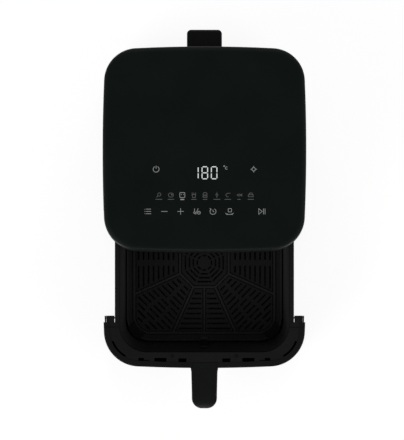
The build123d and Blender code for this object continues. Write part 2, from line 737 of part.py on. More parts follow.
strap_low = 146.0
strap_thickness = 2.5
strap_half = 10.0
notch_floor = 152.0
notch_back = drawer_y - half_depth - spread(shell_top) + shell_rim
with BuildPart() as front_shell:
    add(housing_block(shell_foot, shell_top, 0, drawer_y))
    fillet(front_shell.edges().group_by(Axis.Z)[-1], 2.4)
    add(housing_block(shell_foot + shell_floor, trim_bottom, shell_wall, drawer_y), mode=Mode.SUBTRACT)
    add(housing_block(shell_foot + shell_floor, shell_top + 1, shell_rim, drawer_y), mode=Mode.SUBTRACT)
    add(housing_block(shell_foot - 1, shell_top, inner_cover_inset + inner_cover_wall, drawer_y),
        mode=Mode.SUBTRACT)
    add(leaning_front_of(shell_end), mode=Mode.INTERSECT)
    add(shell_tongue.part)
    add(between(trim_step_y, 0, z_low=shell_top - trim_step), mode=Mode.SUBTRACT)
    add(slab(-arm_half - 0.2, arm_half + 0.2, -230, notch_back, notch_floor, 170), mode=Mode.SUBTRACT)
    add(slab(-strap_half - 0.3, strap_half + 0.3, -230, -200, strap_low - 0.3,
             strap_low + strap_thickness + 0.3), mode=Mode.SUBTRACT)
front_shell.part.label = "front_shell"
export_step(front_shell.part, "parts/front_shell.step")

inner_face = inner_cover_inset + inner_cover_wall
trim_screw_x = 46.3
trim_screw_y = -195.6
web_inset = tongue_inset + 2.2
bolt_z = 134.0
with BuildPart() as cover_webs:
    add(housing_block(shell_foot + 2, trim_bottom - 2, web_inset, drawer_y))
    add(leaning_between(shell_end + 5.5, shell_end + 7.5), mode=Mode.INTERSECT)
with BuildPart() as front_inner_cover:
    add(housing_block(shell_foot + 2, trim_bottom - 2, inner_cover_inset, drawer_y))
    add(leaning_front_of(shell_end + 7.5), mode=Mode.INTERSECT)
    add(cover_webs.part)
    add(housing_block(shell_foot, trim_bottom, inner_face, drawer_y), mode=Mode.SUBTRACT)
    for sign in (-1, 1):
        with Locations((sign * trim_screw_x, trim_screw_y, trim_bottom - 14)):
            Cylinder(3.2, 12, align=lift)
            Cylinder(1.55, 12, align=lift, mode=Mode.SUBTRACT)
    with Locations(Plane(origin=(0, -180, bolt_z), z_dir=(0, -1, 0))):
        with Locations((-6, 0, 0), (6, 0, 0)):
            Cylinder(2.1, 30, align=lift, mode=Mode.SUBTRACT)
front_inner_cover.part.label = "front_inner_cover"
export_step(front_inner_cover.part, "parts/front_inner_cover.step")

# Trim that covers the gap between the shell's rim and the pan.
round_x = half_width - corner_radius       # middle of the drawer's rounded corner
round_y = drawer_y - half_depth + corner_radius
round_slot_radius = 38.6
with BuildPart() as mouth_cut:
    with BuildSketch(Plane.XY.offset(trim_bottom - 2)):
        with Locations((0, (pan_mouth_half - pan_mouth_front) / 2 + pan_y)):
            RectangleRounded(2 * pan_mouth_half, pan_mouth_half + pan_mouth_front, pan_mouth_radius)
    extrude(amount=8)
with BuildPart() as trim_ends:
    add(housing_block(trim_bottom, trim_top, web_inset, drawer_y))
    add(between(shell_end, tongue_end), mode=Mode.INTERSECT)
    rim_half = pan_mouth_half + pan_rim_width + 0.6
    add(slab(-rim_half, rim_half, -160, -120, 150, 170), mode=Mode.SUBTRACT)
with BuildPart() as front_trim:
    add(housing_block(trim_bottom, trim_top, shell_rim + 0.2, drawer_y))
    add(front_of(shell_end), mode=Mode.INTERSECT)
    add(trim_ends.part)
    add(between(trim_step_y, 0, z_low=trim_top - trim_step), mode=Mode.SUBTRACT)
    add(mouth_cut.part, mode=Mode.SUBTRACT)
    with BuildSketch(Plane.XY.offset(trim_bottom - 1)):
        for sign in (-1, 1):
            for inner, outer, back, front in ((87.5, 95.5, -198.7, -202.6), (79.6, 88, -201.5, -202.6),
                                              (55.0, 72.4, -198.7, -204.5), (26.0, 37.6, -199.4, -204.5)):
                with Locations((sign * (inner + outer) / 2, (back + front) / 2)):
                    Rectangle(outer - inner, back - front)
            with Locations((sign * trim_screw_x, trim_screw_y)):
                Circle(1.6)
        for middle_x, start in ((-round_x, 200.5), (round_x, 300.0)):
            with BuildLine():
                slot_arc = CenterArc((middle_x, round_y), round_slot_radius, start, 39.5)
            SlotArc(slot_arc, 2.9)
    extrude(amount=5, mode=Mode.SUBTRACT)
    for sign in (-1, 1):
        with Locations((sign * trim_screw_x, trim_screw_y, trim_top)):
            Cylinder(2.9, 2.4, mode=Mode.SUBTRACT)
front_trim.part.label = "front_trim"
export_step(front_trim.part, "parts/front_trim.step")

with BuildPart() as trim_screws:
    for sign in (-1, 1):
        with Locations((sign * trim_screw_x, trim_screw_y, trim_top - 1.2)):
            Cylinder(2.8, 1.1, align=lift)
        with Locations((sign * trim_screw_x, trim_screw_y, trim_top - 9)):
            Cylinder(1.5, 8, align=lift)
        with Locations((sign * trim_screw_x, trim_screw_y, trim_top)):
            Box(3.4, 0.7, 1.0, mode=Mode.SUBTRACT)
            Box(0.7, 3.4, 1.0, mode=Mode.SUBTRACT)
trim_screws.part.label = "trim_screws"
export_step(trim_screws.part, "parts/trim_screws.step")

# ---------------------------------------------------------------- pan

pan_outside = pan_block(pan_floor - pan_wall, pan_rim, pan_wall)
with BuildPart() as pan_inside:
    add(pan_block(pan_floor, pan_rim + 2))
    fillet(pan_inside.edges().group_by(Axis.Z)[0], 10.0)
with BuildPart() as pan:
    add(pan_outside)
    fillet(pan.edges().group_by(Axis.Z)[0], 11.0)
    with BuildSketch(Plane.XY.offset(pan_rim - 1.5)):
        with Locations((0, (pan_mouth_half - pan_mouth_front) / 2 + pan_y)):
            RectangleRounded(2 * (pan_mouth_half + pan_rim_width),
                             pan_mouth_half + pan_mouth_front + 2 * pan_rim_width,
                             pan_mouth_radius + pan_rim_width)
    extrude(amount=1.5)
    add(pan_inside.part, mode=Mode.SUBTRACT)
    with Locations((-trim_screw_x, trim_screw_y, pan_rim), (trim_screw_x, trim_screw_y, pan_rim)):
        Cylinder(1.9, 6, mode=Mode.SUBTRACT)
pan.part.label = "pan"
export_step(pan.part, "parts/pan.step")

strap_inner = -197.7
with BuildPart() as pan_bracket:
    add(slab(-26, 26, -194.4, -180, bolt_z - 13, bolt_z + 13))
    add(slab(-24, 24, -192.4, -170, bolt_z - 20, bolt_z + 20), mode=Mode.SUBTRACT)
    add(pan_outside, mode=Mode.SUBTRACT)
    add(front_of(-188), mode=Mode.INTERSECT)
    with Locations(Plane(origin=(0, -180, bolt_z), z_dir=(0, -1, 0))):
        with Locations((-6, 0, 0), (6, 0, 0)):
            Cylinder(2.1, 30, align=lift, mode=Mode.SUBTRACT)
pan_bracket.part.label = "pan_bracket"
export_step(pan_bracket.part, "parts/pan_bracket.step")

strap_tip = -262.0
with BuildPart() as handle_bracket:
    add(slab(-strap_half, strap_half, strap_tip, strap_inner, strap_low, strap_low + strap_thickness))
    add(slab(-strap_half, strap_half, strap_inner - 2.5, strap_inner,
             bolt_z - 8, strap_low + strap_thickness))
    add(slab(-strap_half, strap_half, strap_tip, strap_tip + 2.5, 92, strap_low + strap_thickness))
    with Locations(Plane(origin=(0, -180, bolt_z), z_dir=(0, -1, 0))):
        with Locations((-6, 0, 0), (6, 0, 0)):
            Cylinder(2.1, 30, align=lift, mode=Mode.SUBTRACT)
handle_bracket.part.label = "handle_bracket"
export_step(handle_bracket.part, "parts/handle_bracket.step")

with BuildPart(Plane(origin=(0, -190.6, bolt_z), z_dir=(0, -1, 0))) as bracket_screws:
    with Locations((-6, 0, 0), (6, 0, 0)):
        Cylinder(2.0, 13.5, align=lift)
        Cylinder(3.6, 1.7, align=lift)
bracket_screws.part.label = "bracket_screws"
export_step(bracket_screws.part, "parts/bracket_screws.step")

# ---------------------------------------------------------------- handle

grip_inner = -250.5
grip_root = -214.0             # in front of this every edge of the grip is rounded
grip_round = 2.5
with BuildPart() as grip_profile:
    with BuildSketch(Plane.YZ):
        with BuildLine():
            Polyline((notch_back - 0.2, notch_floor + 0.3), (notch_back - 0.2, shell_top - 0.2),
                     (-240, shell_top - 0.2))
            Spline((-240, shell_top - 0.2), (-262, 158.6), (handle_tip, 140),
                   tangents=((-1, 0), (-0.05, -1)))
            Line((handle_tip, 140), (-267.5, 76))
            Spline((-267.5, 76), (-258, 60), (-238, 56), tangents=((0.08, -1), (1, 0)))
            Polyline((-238, 56), (-205, 56), (-205, 70), (-236, 70))
            Spline((-236, 70), (-246, 74), (grip_inner, 84), tangents=((-1, 0), (0, 1)))
            Line((grip_inner, 84), (grip_inner, 126))
            Spline((grip_inner, 126), (-246.5, 135.5), (-236, 139.5), tangents=((0, 1), (1, 0)))
            Polyline((-236, 139.5), (-208, 139.5), (-208, notch_floor + 0.3),
                     (notch_back - 0.2, notch_floor + 0.3))
        make_face()
    extrude(amount=30, both=True)
with BuildPart() as grip_plan:
    with BuildSketch(Plane.XY):
        with BuildLine():
            Polyline((arm_half, -200), (arm_half, -213), (handle_root_half, -213.5),
                     (handle_root_half - 0.9, -219), (handle_half, -252), (handle_half, handle_tip))
            Line((handle_half, handle_tip), (-handle_half, handle_tip))
            Polyline((-handle_half, handle_tip), (-handle_half, -252), (-handle_root_half + 0.9, -219),
                     (-handle_root_half, -213.5), (-arm_half, -213), (-arm_half, -200), (arm_half, -200))
        grip_face = make_face()
        fillet(grip_face.vertices().group_by(Axis.Y)[0], handle_end_radius)
    extrude(amount=200)
with BuildPart() as shell_below:
    add(housing_block(shell_foot, shell_top, 0, drawer_y))
    add(front_of(0, z_high=notch_floor + 0.1), mode=Mode.INTERSECT)
with BuildPart() as handle_grip:
    add(grip_profile.part)
    add(grip_plan.part, mode=Mode.INTERSECT)
    fillet([edge for edge in handle_grip.edges()
            if abs(edge.center().X) > 5 and edge.center().Y < grip_root], grip_round)
    add(shell_below.part, mode=Mode.SUBTRACT)
    add(front_shell.part, mode=Mode.SUBTRACT)
    add(slab(-13, 13, -266, -252, 86, 124), mode=Mode.SUBTRACT)
    add(slab(-11.2, 11.2, -253, -240, 84, 126), mode=Mode.SUBTRACT)
    add(slab(-strap_half - 0.2, strap_half + 0.2, strap_tip - 0.2, -190, strap_low - 0.2,
             strap_low + strap_thickness + 0.2), mode=Mode.SUBTRACT)
    add(slab(-strap_half - 0.2, strap_half + 0.2, strap_tip - 0.2, strap_tip + 2.7, 91,
             strap_low + strap_thickness + 0.2), mode=Mode.SUBTRACT)
handle_grip.part.label = "handle_grip"
export_step(handle_grip.part, "parts/handle_grip.step")

with BuildPart() as handle_insert:
    add(slab(-11, 11, -252.9, grip_inner, 84.2, 125.8))
    fillet(handle_insert.edges().filter_by(Axis.Y), 3.0)
    with Locations(Plane(origin=(0, grip_inner + 1, 0), x_dir=(1, 0, 0), z_dir=(0, 1, 0))):
        with Locations((0, -92, 0), (0, -118, 0)):
            CounterSinkHole(1.4, 2.8)
handle_insert.part.label = "handle_insert"
export_step(handle_insert.part, "parts/handle_insert.step")

with BuildPart() as handle_screws:
    for z in (92, 118):
        with Locations(Plane(origin=(0, -258.5, z), x_dir=(1, 0, 0), z_dir=(0, 1, 0))):
            Cylinder(1.3, 7, align=lift)
handle_screws.part.label = "handle_screws"
export_step(handle_screws.part, "parts/handle_screws.step")

# ---------------------------------------------------------------- crisper plate

sheet_low = plate_top - plate_thickness
frame_inner = frame_rib_half - rib_width / 2


def hub_outline(grow):
    """Sketch of the eight-cornered hub, its corners moved out by grow."""
    reach = plate_hub + grow
    with BuildSketch() as outline:
        with BuildLine():
            corners = []
            for quarter in (0, 90, 180, 270):
                for turn in (quarter + spoke_angle, quarter + 90 - spoke_angle):
                    corners.append((reach * cos(radians(turn)), reach * sin(radians(turn))))
            Polyline(*corners, close=True)
        make_face()
    return outline.sketch


def rib_lines(width, middle_width, level):
    """Sketch of the ribs: the frame, the hub, eight spokes and a short one towards the front."""
    outer = frame_rib_half + width / 2
    inner = frame_rib_half - width / 2
    spoke_end = frame_rib_half / cos(radians(spoke_angle))
    with BuildSketch(Plane((0, pan_y, level))) as ribs:
        RectangleRounded(2 * outer, 2 * outer, frame_rib_radius + width / 2)
        RectangleRounded(2 * inner, 2 * inner, frame_rib_radius - width / 2, mode=Mode.SUBTRACT)
        add(hub_outline(width / 2))
        add(hub_outline(-width / 2), mode=Mode.SUBTRACT)
        for start in (spoke_angle, 90 - spoke_angle):
            with PolarLocations((plate_hub + spoke_end) / 2, 4, start_angle=start):
                Rectangle(spoke_end - plate_hub, width)
        with Locations((0, -(plate_hub * cos(radians(spoke_angle)) + frame_rib_half) / 2)):
            Rectangle(middle_width, frame_rib_half - plate_hub * cos(radians(spoke_angle)))
    return ribs.sketch


def row_pieces(reach, start):
    """The slots of one row, each as its middle along the row and its length."""
    if start == 0:
        half = reach * tan(radians(spoke_angle)) - slot_margin
        if reach > frame_inner - 3:
            half = 0
        webs = 2
    else:
        half = reach * tan(radians(45 - spoke_angle)) - slot_margin
        half = min(half, frame_inner * sqrt(2) - reach - 5.0)
        webs = 3 if half > 24 else 2
    gap = 8.4 if start == 0 else 5.0
    length = (2 * half - gap * (webs - 1)) / webs
    if length < slot_width + 1:
        return []
    return [(-half + length / 2 + (length + gap) * i, length) for i in range(webs)]


with BuildPart() as crisper_plate:
    with BuildSketch(Plane((0, pan_y, sheet_low))):
        RectangleRounded(plate_width, plate_depth, plate_radius)
        for row in range(12):
            reach = first_row + slot_pitch * row
            for start in (0, 45):
                for middle, length in row_pieces(reach, start):
                    with PolarLocations(reach, 4, start_angle=start):
                        with Locations((0, middle)):
                            SlotOverall(length, slot_width, rotation=90, mode=Mode.SUBTRACT)
        for row in range(4):
            reach = hub_first_row + hub_pitch * row
            with PolarLocations(reach, 8):
                SlotOverall(2 * reach * tan(radians(22.5)) - 2.0, hub_slot_width, rotation=90,
                            mode=Mode.SUBTRACT)
        for turn in (45, 135, 225, 315):
            with PolarLocations(bumper_reach - 1.5, 1, start_angle=turn):
                with Locations((0, bumper_offset), (0, -bumper_offset)):
                    SlotOverall(5, 3.2, mode=Mode.SUBTRACT)
    extrude(amount=plate_thickness)
    add(rib_lines(rib_width + 2 * groove_width, middle_rib_width + 2 * groove_width, plate_top))
    extrude(amount=-groove_depth, mode=Mode.SUBTRACT)
    add(rib_lines(rib_width, middle_rib_width, plate_top - groove_depth))
    extrude(amount=groove_depth + rib_height)
    with BuildSketch(Plane((0, pan_y, plate_top))):
        RectangleRounded(plate_width, plate_depth, plate_radius)
        RectangleRounded(plate_width - 2 * plate_edge, plate_depth - 2 * plate_edge,
                         plate_radius - plate_edge, mode=Mode.SUBTRACT)
    extrude(amount=rib_height)
    with BuildSketch(Plane((0, pan_y, sheet_low))):
        RectangleRounded(plate_width - 1, plate_depth - 1, plate_radius - 0.5)
        RectangleRounded(plate_width - 4, plate_depth - 4, plate_radius - 2, mode=Mode.SUBTRACT)
    extrude(amount=-4)
    with BuildSketch(Plane((0, pan_y, sheet_low))):
        with GridLocations(150, 150, 2, 2):
            Circle(5)
    extrude(amount=-(sheet_low - pan_floor - 0.4), taper=2)
    with BuildSketch(Plane.YZ):
        with BuildLine():
            front_edge = pan_y - plate_depth / 2
            Polyline((front_edge + 6, plate_top), (front_edge + 0.4, plate_top - 1.5),
                     (front_edge - 6.2, plate_top + 68), (front_edge - 4.6, plate_top + 68),
                     (front_edge + 1.9, plate_top + 2.5), (front_edge + 6, plate_top + 2.0), close=True)
        make_face()
    extrude(amount=5.2, both=True)
    with BuildSketch(Plane.XZ.offset(150)):
        with Locations((0, plate_top + 54)):
            SlotOverall(18, 5, rotation=90)
    extrude(amount=60, mode=Mode.SUBTRACT)
crisper_plate.part.label = "crisper_plate"
export_step(crisper_plate.part, "parts/crisper_plate.step")

bumper_middle = (plate_width / 2 - plate_radius) * sqrt(2)
for place, turn in (("front_left", 225), ("front_right", 315), ("rear_left", 135), ("rear_right", 45)):
    corner = Plane(origin=(0, pan_y, 51), x_dir=(cos(radians(turn)), sin(radians(turn)), 0))
    with BuildPart() as bumper:
        with BuildSketch(corner):
            with Locations((bumper_middle, 0)):
                Circle(plate_radius + 2.2)
                Circle(plate_radius - 11, mode=Mode.SUBTRACT)
            with Locations((bumper_middle + 30, 0)):
                Rectangle(30, 24, mode=Mode.INTERSECT)
        extrude(amount=7.6)
        add(crisper_plate.part, mode=Mode.SUBTRACT)
    bumper.part.label = f"plate_bumper_{place}"
    export_step(bumper.part, f"parts/plate_bumper_{place}.step")
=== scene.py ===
import json
import math

import bmesh
import bpy
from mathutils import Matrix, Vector


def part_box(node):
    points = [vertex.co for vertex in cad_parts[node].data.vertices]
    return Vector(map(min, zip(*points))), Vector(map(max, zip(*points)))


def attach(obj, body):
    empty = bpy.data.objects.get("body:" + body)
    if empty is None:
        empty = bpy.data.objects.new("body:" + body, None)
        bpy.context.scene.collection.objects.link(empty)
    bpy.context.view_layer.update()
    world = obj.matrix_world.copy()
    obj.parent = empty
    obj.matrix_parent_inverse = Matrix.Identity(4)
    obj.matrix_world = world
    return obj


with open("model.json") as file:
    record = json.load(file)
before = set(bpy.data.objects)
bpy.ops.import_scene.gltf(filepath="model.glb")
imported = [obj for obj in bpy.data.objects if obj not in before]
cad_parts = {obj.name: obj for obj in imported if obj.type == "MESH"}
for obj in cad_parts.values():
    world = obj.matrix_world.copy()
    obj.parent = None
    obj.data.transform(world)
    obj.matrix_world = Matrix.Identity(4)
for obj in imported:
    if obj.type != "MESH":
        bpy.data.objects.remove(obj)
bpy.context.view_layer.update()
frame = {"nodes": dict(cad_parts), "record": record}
nodes = frame["nodes"]
slot_of = {part["node"]: part["material_slot"] for part in frame["record"]["subparts"]}

MM = 0.001

# ---------------------------------------------------------------- materials


def node_tree(name):
    """A new material with its shader, its node tree and a texture coordinate in metres."""
    made = bpy.data.materials.new(name)
    made.use_nodes = True
    tree = made.node_tree
    shader = tree.nodes["Principled BSDF"]
    place = tree.nodes.new("ShaderNodeTexCoord")
    return made, tree, shader, place.outputs["Object"]


def noise(tree, place, size, detail=3.0, roughness=0.5):
    """Noise whose spots are about size metres across."""
    made = tree.nodes.new("ShaderNodeTexNoise")
    made.inputs["Scale"].default_value = 0.5 / size
    made.inputs["Detail"].default_value = detail
    made.inputs["Roughness"].default_value = roughness
    tree.links.new(place, made.inputs["Vector"])
    return made.outputs["Fac"]


def spread(tree, value, low, high):
    """A noise value spread over the range from low to high."""
    made = tree.nodes.new("ShaderNodeMapRange")
    made.inputs["From Min"].default_value = 0.3
    made.inputs["From Max"].default_value = 0.7
    made.inputs["To Min"].default_value = low
    made.inputs["To Max"].default_value = high
    tree.links.new(value, made.inputs["Value"])
    return made.outputs["Result"]


def two_tone(tree, value, dark, light):
    """A colour that goes from dark to light with a noise value."""
    made = tree.nodes.new("ShaderNodeValToRGB")
    made.color_ramp.elements[0].position = 0.3
    made.color_ramp.elements[1].position = 0.7
    made.color_ramp.elements[0].color = (*dark, 1)
    made.color_ramp.elements[1].color = (*light, 1)
    tree.links.new(value, made.inputs["Fac"])
    return made.outputs["Color"]


def bump(tree, shader, height, depth):
    """Raises the surface by a height value times depth metres."""
    made = tree.nodes.new("ShaderNodeBump")
    made.inputs["Strength"].default_value = 1.0
    made.inputs["Distance"].default_value = depth
    tree.links.new(height, made.inputs["Height"])
    tree.links.new(made.outputs["Normal"], shader.inputs["Normal"])


def plastic(name, colour, roughness, grain=0.0006, depth=0.00003, shine=0.5):
    """Moulded plastic: fine spark-eroded grain, a faint unevenness in tone and in gloss."""
    made, tree, shader, place = node_tree(name)
    broad = noise(tree, place, 0.03, 2.0)
    dark = [c * 0.9 for c in colour]
    light = [c * 1.12 for c in colour]
    tree.links.new(two_tone(tree, broad, dark, light), shader.inputs["Base Color"])
    fine = noise(tree, place, grain, 2.0, 0.6)
    tree.links.new(spread(tree, fine, roughness - 0.05, roughness + 0.05), shader.inputs["Roughness"])
    shader.inputs["Specular IOR Level"].default_value = shine
    bump(tree, shader, fine, depth)
    return made


def steel(name, colour, roughness, brush_axis=0, depth=0.000004):
    """Sheet metal with a brushed or rolled grain along one axis."""
    made, tree, shader, place = node_tree(name)
    stretch = tree.nodes.new("ShaderNodeMapping")
    scale = [1.0, 1.0, 1.0]
    scale[brush_axis] = 0.03
    stretch.inputs["Scale"].default_value = scale
    tree.links.new(place, stretch.inputs["Vector"])
    lines = noise(tree, stretch.outputs["Vector"], 0.0004, 3.0, 0.6)
    broad = noise(tree, place, 0.02, 3.0)
    tree.links.new(two_tone(tree, broad, [c * 0.85 for c in colour], colour), shader.inputs["Base Color"])
    tree.links.new(spread(tree, lines, roughness - 0.08, roughness + 0.08), shader.inputs["Roughness"])
    shader.inputs["Metallic"].default_value = 1.0
    bump(tree, shader, lines, depth)
    return made


def painted_light_by_height(tree, place, stops):
    """A grey that follows height, from stops of (height in millimetres, grey), for painting light and shade
    by height.
    """
    low, high = stops[0][0] * MM, stops[-1][0] * MM
    split = tree.nodes.new("ShaderNodeSeparateXYZ")
    climb = tree.nodes.new("ShaderNodeMapRange")
    climb.inputs["From Min"].default_value = low
    climb.inputs["From Max"].default_value = high
    ramp = tree.nodes.new("ShaderNodeValToRGB")
    for i, (height, grey) in enumerate(stops):
        position = (height * MM - low) / (high - low)
        stop = ramp.color_ramp.elements[i] if i < 2 else ramp.color_ramp.elements.new(position)
        stop.position = position
        stop.color = (grey, grey, grey, 1)
    tree.links.new(place, split.inputs["Vector"])
    tree.links.new(split.outputs["Z"], climb.inputs["Value"])
    tree.links.new(climb.outputs["Result"], ramp.inputs["Fac"])
    return ramp.outputs["Color"]


def coating(name, colour, roughness, depth=0.00002, stops=((0, 1), (300, 1))):
    """Dark non-stick coating on steel: an orange peel, a faint fleck, and a grey that follows height to
    paint light and shade onto it.
    """
    made, tree, shader, place = node_tree(name)
    fleck = noise(tree, place, 0.0008, 2.0, 0.7)
    peel = noise(tree, place, 0.0025, 2.0)
    fleck_and_painted_light = tree.nodes.new("ShaderNodeVectorMath")
    fleck_and_painted_light.operation = "MULTIPLY"
    tree.links.new(two_tone(tree, fleck, [c * 0.8 for c in colour], [c * 1.3 for c in colour]),
                   fleck_and_painted_light.inputs[0])
    tree.links.new(painted_light_by_height(tree, place, stops), fleck_and_painted_light.inputs[1])
    tree.links.new(fleck_and_painted_light.outputs["Vector"], shader.inputs["Base Color"])
    tree.links.new(spread(tree, peel, roughness - 0.06, roughness + 0.06), shader.inputs["Roughness"])
    shader.inputs["Specular IOR Level"].default_value = 0.5
    bump(tree, shader, peel, depth)
    return made


def glow(name, colour, strength):
    """Lit or printed marks under the panel's film."""
    made, tree, shader, place = node_tree(name)
    shader.inputs["Base Color"].default_value = (*[c * 0.4 for c in colour], 1)
    shader.inputs["Roughness"].default_value = 0.5
    shader.inputs["Emission Color"].default_value = (*colour, 1)
    shader.inputs["Emission Strength"].default_value = strength
    uneven = noise(tree, place, 0.002, 1.0)
    tree.links.new(spread(tree, uneven, 0.45, 0.55), shader.inputs["Roughness"])
    return made


body_black = (0.026, 0.027, 0.0265)
looks = {
    "housing_black": plastic("housing_plastic", body_black, 0.45, shine=0.2),
    "cover_black": plastic("cover_plastic", (0.0172, 0.0262, 0.0240), 0.45, grain=0.0004,
                           depth=0.000008, shine=0.12),
    "handle_black": plastic("handle_plastic", (0.0245, 0.0265, 0.0255), 0.45, shine=0.2),
    "trim_black": plastic("trim_plastic", (0.032, 0.032, 0.032), 0.5, shine=0.2),
    "base_plastic": plastic("base_plastic_dark", (0.010, 0.010, 0.010), 0.55, depth=0.00005),
    "duct_plastic": plastic("duct_plastic_dark", (0.012, 0.012, 0.012), 0.5),
    # The pan's grey by height is painted light and shade: kept light low in the pan against the shade deep
    # inside it, and painted shade darkening towards the rim.
    "pan_coating": coating("pan_nonstick_painted_light", (0.120, 0.124, 0.122), 0.45,
                           stops=((30, 1.0), (90, 1.0), (148, 0.6), (157, 0.17))),
    # The plate's grey by height is painted light and shade: painted shade in the grooves beside the ribs
    # and a painted highlight on the rib tops.
    "plate_coating": coating("plate_nonstick_painted_light", (0.075, 0.075, 0.075), 0.45,
                             stops=((54.2, 0.5), (54.4, 0.1), (56.2, 0.1), (56.35, 0.56), (57.6, 0.56),
                                    (57.8, 1.0), (58.2, 1.0), (70, 0.4))),
    "bumper_silicone": plastic("bumper_silicone_black", (0.011, 0.011, 0.011), 0.6, grain=0.001),
    "foot_rubber": plastic("foot_rubber_black", (0.010, 0.010, 0.010), 0.75, grain=0.001, depth=0.00006),
    "gland_rubber": plastic("gland_rubber_black", (0.010, 0.010, 0.010), 0.7, grain=0.001),
    "liner_steel": steel("liner_sheet", (0.42, 0.42, 0.41), 0.35, 0),
    "dome_aluminium": steel("dome_sheet", (0.62, 0.62, 0.62), 0.3, 1),
    "heater_steel": steel("heater_tube", (0.12, 0.115, 0.11), 0.45, 2),
    "wire_steel": steel("guard_wire", (0.6, 0.6, 0.6), 0.2, 0),
    "screw_steel": steel("screw_zinc", (0.45, 0.45, 0.46), 0.3, 0),
    "screw_black": coating("screw_blacked", (0.012, 0.012, 0.012), 0.4),
    "fan_aluminium": steel("fan_sheet", (0.6, 0.6, 0.61), 0.35, 0),
    "motor_steel": steel("motor_laminations", (0.3, 0.3, 0.31), 0.4, 2),
    "coil_tape": plastic("coil_tape_yellow", (0.45, 0.30, 0.04), 0.4),
    "bearing_bronze": steel("bearing_sintered", (0.5, 0.32, 0.13), 0.4, 2),
    "board_green": plastic("board_laminate", (0.02, 0.12, 0.045), 0.35),
    "component_plastic": plastic("component_black", (0.03, 0.03, 0.035), 0.4),
    "pad_foam": plastic("pad_foam_grey", (0.05, 0.05, 0.05), 0.9, grain=0.001, depth=0.0001),
    "display_white": plastic("display_box_white", (0.7, 0.7, 0.7), 0.5),
    "ceramic_white": plastic("cutout_body", (0.6, 0.58, 0.52), 0.5),
}
for name, node in nodes.items():
    node.data.materials.clear()
    node.data.materials.append(looks[slot_of[name]])

# ---------------------------------------------------------------- marks on the touch panel

panel_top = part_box("top_cover")[1].z
MARK_LIFT = 0.03 * MM
MARK_THICK = 0.05 * MM


def arc(centre, radius, start, sweep, steps=24):
    """Points along an arc, in degrees."""
    return [(centre[0] + radius * math.cos(math.radians(start + sweep * i / steps)),
             centre[1] + radius * math.sin(math.radians(start + sweep * i / steps)))
            for i in range(steps + 1)]


def ring(centre, radius, steps=28):
    """Points round a whole circle, without repeating the first."""
    return arc(centre, radius, 0, 360, steps)[:-1]


def ribbon(mesh, points, width, closed=False):
    """Adds a flat stroke of a width along points, as a thin closed prism on the panel."""
    count = len(points)
    left, right = [], []
    for i, here in enumerate(points):
        before = points[i - 1] if closed or i > 0 else here
        after = points[(i + 1) % count] if closed or i < count - 1 else here
        inward = (Vector(here) - Vector(before)).normalized() if before != here else Vector((0, 0))
        outward = (Vector(after) - Vector(here)).normalized() if after != here else Vector((0, 0))
        along = (inward + outward).normalized()
        across = Vector((-along.y, along.x))
        whole = inward.length > 0 and outward.length > 0
        miter = 1 / max(0.5, across.dot(Vector((-outward.y, outward.x)))) if whole else 1
        left.append(Vector(here) + across * width / 2 * miter)
        right.append(Vector(here) - across * width / 2 * miter)
    z_low = panel_top + MARK_LIFT
    z_high = z_low + MARK_THICK
    rings = []
    for a, b in zip(left, right):
        rings.append([mesh.verts.new((a.x, a.y, z_low)), mesh.verts.new((b.x, b.y, z_low)),
                      mesh.verts.new((b.x, b.y, z_high)), mesh.verts.new((a.x, a.y, z_high))])
    last = count if closed else count - 1
    for i in range(last):
        one, two = rings[i], rings[(i + 1) % count]
        for k in range(4):
            mesh.faces.new((one[k], one[(k + 1) % 4], two[(k + 1) % 4], two[k]))
    if not closed:
        mesh.faces.new(rings[0][::-1])
        mesh.faces.new(rings[-1])


def marks(name, strokes, look, body="housing"):
    """One object from many strokes: (points, width, closed)."""
    mesh = bmesh.new()
    for points, width, closed in strokes:
        ribbon(mesh, points, width, closed)
    bmesh.ops.recalc_face_normals(mesh, faces=mesh.faces)
    data = bpy.data.meshes.new(name)
    mesh.to_mesh(data)
    mesh.free()
    made = bpy.data.objects.new(name, data)
    bpy.context.scene.collection.objects.link(made)
    data.materials.append(look)
    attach(made, body)
    return made


# A mark is a list of strokes in millimetres about its own middle, each (points, closed).


def line(*points):
    """An open stroke through points."""
    return points, False


def loop(*points):
    """A closed stroke through points."""
    return points, True


def moved(points, x, y):
    """Points shifted by x and y."""
    return [(px + x, py + y) for px, py in points]


def rounded(half_w, half_h, corner):
    """Points round a rectangle with round corners."""
    points = []
    for turn, (x, y) in enumerate(((1, 1), (-1, 1), (-1, -1), (1, -1))):
        middle = (x * (half_w - corner), y * (half_h - corner))
        points += arc(middle, corner, 90 * turn, 90, 5)
    return points


def digit(on):
    """Strokes of one seven-segment figure, from its lit segments a to g."""
    half_w, half_h, nick = 3.9, 8.4, 0.9
    ends = {
        "a": ((-half_w + nick, half_h), (half_w - nick, half_h)),
        "b": ((half_w, half_h - nick), (half_w, nick)),
        "c": ((half_w, -nick), (half_w, -half_h + nick)),
        "d": ((half_w - nick, -half_h), (-half_w + nick, -half_h)),
        "e": ((-half_w, -half_h + nick), (-half_w, -nick)),
        "f": ((-half_w, nick), (-half_w, half_h - nick)),
        "g": ((-half_w + nick, 0), (half_w - nick, 0)),
    }
    return [line(*ends[segment]) for segment in on]


def bar(half):
    """A short straight line under a food's mark."""
    return [line((-half, 0), (half, 0))]


def placed(x, y, strokes, width):
    """A mark's strokes moved to a place on the panel, in metres."""
    return [([((x + px) * MM, (y + py) * MM) for px, py in points], width * MM, closed)
            for points, closed in strokes]


power = [line(*arc((0, 0), 4.1, 120, 300)), line((0, 4.8), (0, 0.8))]
lamp = [loop(*ring((0, 0), 2.4))]
lamp += [line((3.1 * x, 3.1 * y), (4.4 * x, 4.4 * y)) for x, y in ((1, 0), (0, 1), (-1, 0), (0, -1))]
degree = [loop(*ring((-1.7, 1.6), 0.7, 12)), line(*arc((1.6, -1.2), 1.7, 50, 260))]

